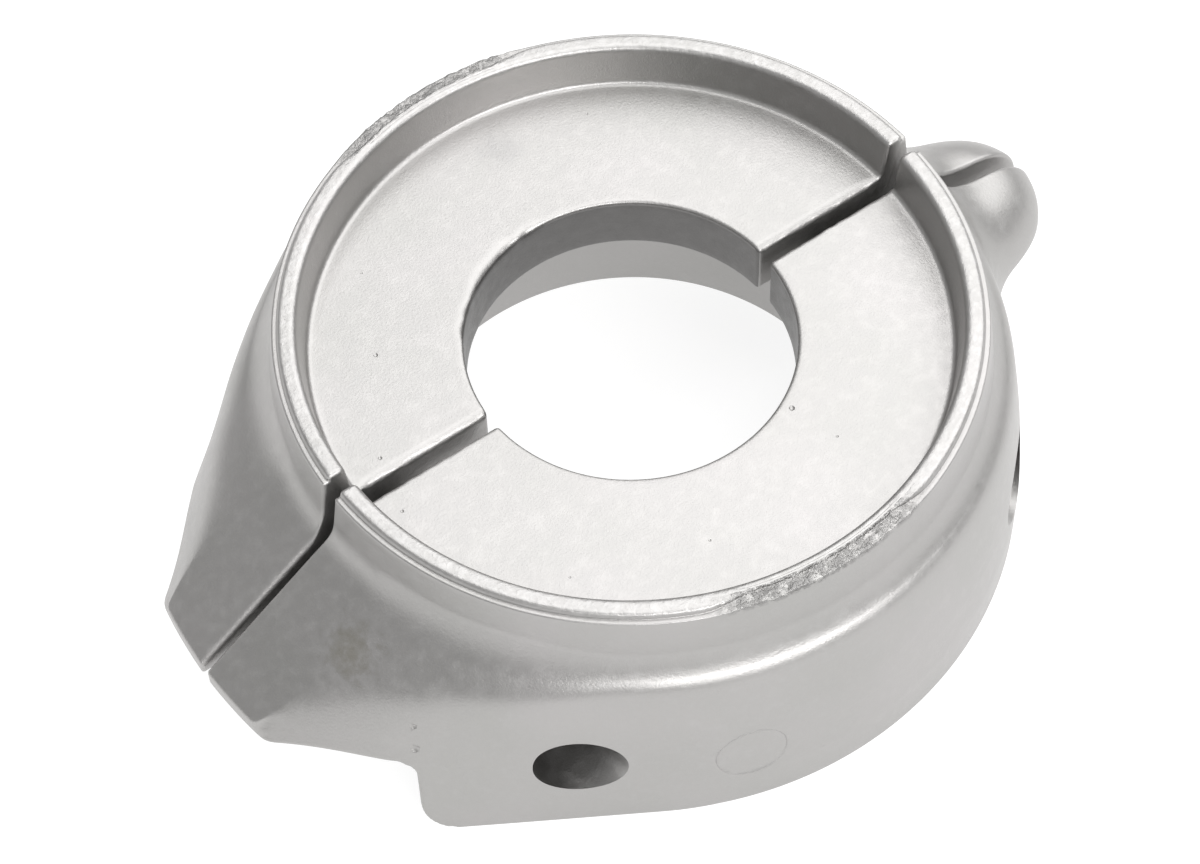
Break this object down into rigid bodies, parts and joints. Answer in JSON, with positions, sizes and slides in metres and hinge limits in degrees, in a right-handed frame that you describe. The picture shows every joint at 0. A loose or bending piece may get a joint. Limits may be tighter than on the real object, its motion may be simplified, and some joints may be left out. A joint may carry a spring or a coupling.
{
  "type": "sacrificial anode",
  "caption": "Split ring collar anode with a recessed top web, a centre bore, a rounded lobe on one side and a tapered flare on the other, clamped on a hub by socket head screws.",
  "frame": {"origin": "axis of the bore at the plane of the foot", "axes": "+Z along the bore axis towards the rim, +X along the parting plane towards the lobe, -Y towards the half that the screw heads sit in"},
  "size_m": [0.1783, 0.1392, 0.051],
  "materials": {
    "cast_anode": "matt as cast, light sheen",
    "screw_steel": "satin"
  },
  "bodies": {
    "root": {"front_half": "cast_anode", "rear_half": "cast_anode", "clamp_screws": "screw_steel"}
  },
  "joints": []
}
